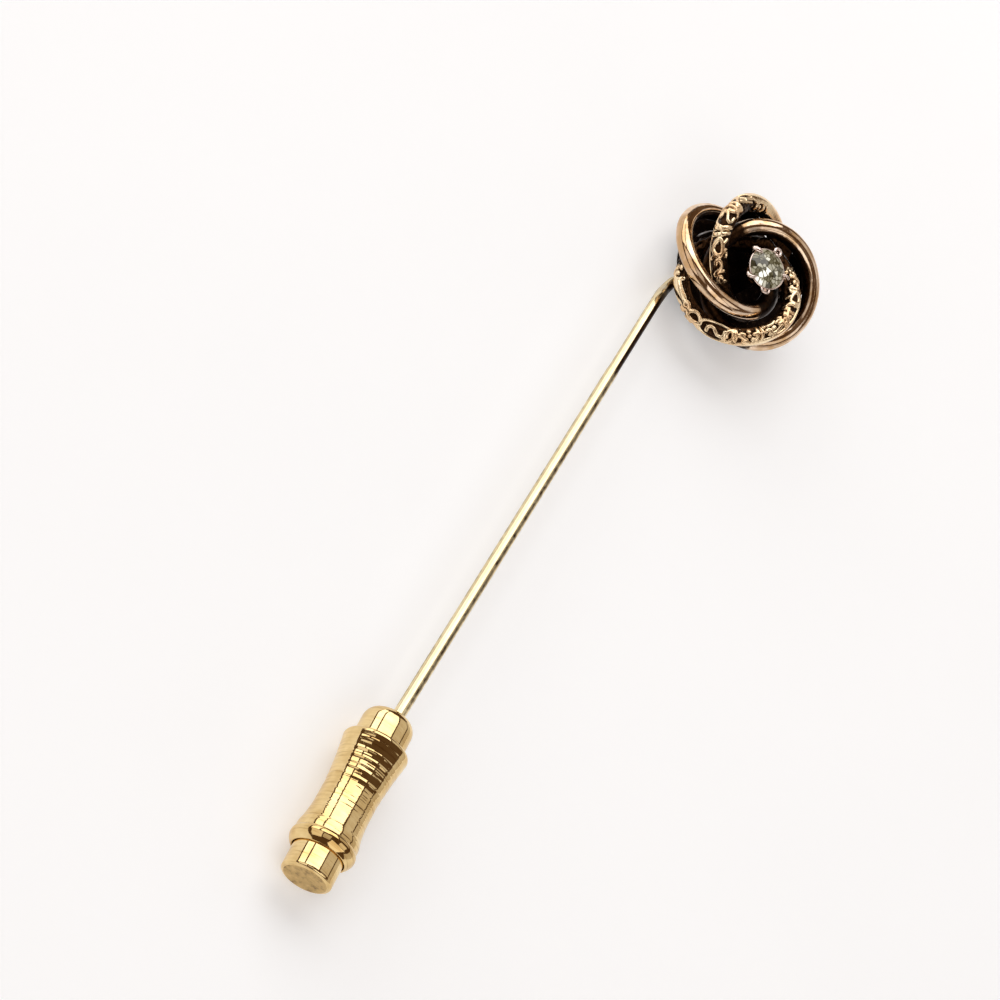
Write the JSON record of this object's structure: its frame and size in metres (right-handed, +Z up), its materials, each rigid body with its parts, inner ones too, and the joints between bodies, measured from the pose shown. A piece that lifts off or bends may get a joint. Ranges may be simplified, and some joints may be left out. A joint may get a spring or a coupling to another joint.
{
  "type": "stick pin",
  "caption": "Stick pin: a knot of interlinked plain and chased rings round a claw-set clear stone, on a straight shank closed by a barrel clutch.",
  "frame": {"origin": "on the surface the pin lies on, under the middle of the whole pin's outline", "axes": "+X along the shank from the point to the knot, +Z up from the surface the pin lies on, knot facing up"},
  "size_m": [0.0696, 0.0138, 0.0068],
  "materials": {
    "pale_gold": "polished",
    "rose_gold": "polished",
    "chased_gold": "chased, with dark patina in the recesses",
    "dark_gold": "dark patina",
    "claw_metal": "polished",
    "clear_stone": "faceted",
    "clutch_gilt": "polished"
  },
  "bodies": {
    "pin": {"stem": "pale_gold", "ring_plain_left": "rose_gold", "ring_plain_right": "rose_gold", "ring_chased_top": "chased_gold", "ring_chased_bottom": "chased_gold", "knot_base": "dark_gold", "claw_setting": "claw_metal", "stone": "clear_stone"},
    "clutch": {"clutch_core": "clutch_gilt"},
    "sleeve": {"clutch_sleeve": "clutch_gilt"}
  },
  "joints": [
    {"name": "clutch_pull", "type": "slide", "parent": "pin", "child": "clutch", "axis": [-1, 0, 0], "range_m": [0, 0.035]},
    {"name": "sleeve_slide", "type": "slide", "parent": "clutch", "child": "sleeve", "axis": [-0.9983, -0.0583, 0], "range_m": [0, 0.0015], "stiffness_N_per_m": 100, "springref_m": -0.001}
  ]
}
